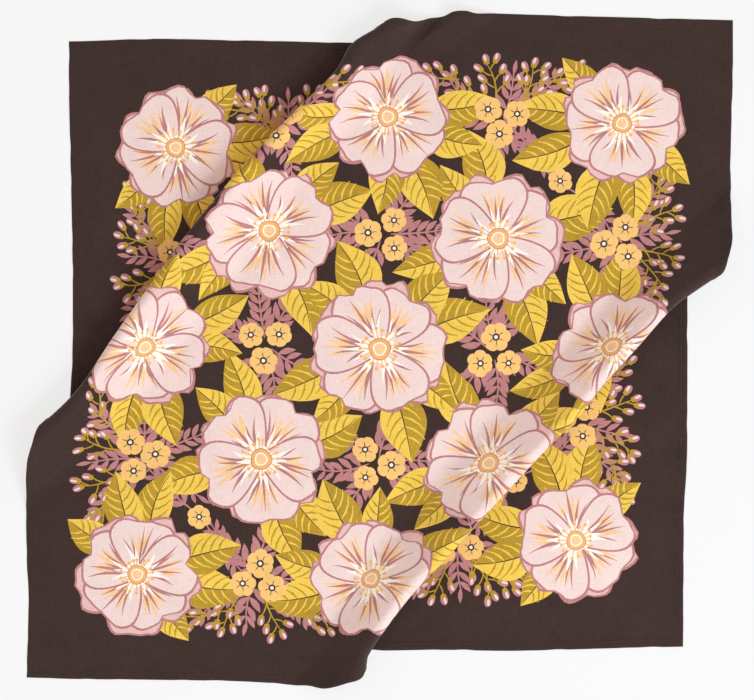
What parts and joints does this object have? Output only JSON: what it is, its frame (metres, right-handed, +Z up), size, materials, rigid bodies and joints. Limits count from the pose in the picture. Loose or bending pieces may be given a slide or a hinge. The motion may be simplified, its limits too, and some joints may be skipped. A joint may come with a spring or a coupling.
{
  "type": "bandana",
  "caption": "Square printed cotton bandana with a narrow turned hem, laid out open on a level surface with two soft diagonal folds across it.",
  "frame": {"origin": "on the surface that the cloth lies on, below the middle of its bounding box", "axes": "+Z up, away from the surface; +X and +Y run with the cloth's hems, +X to the right as the cloth is seen from above, along its longer side; the two folds run from the lower left to the upper right"},
  "size_m": [0.5812, 0.556, 0.0279],
  "materials": {
    "printed_cotton": "plain-woven cotton with a printed design, matt, soft"
  },
  "bodies": {
    "root": {"bandana_cloth": "printed_cotton"}
  },
  "joints": []
}
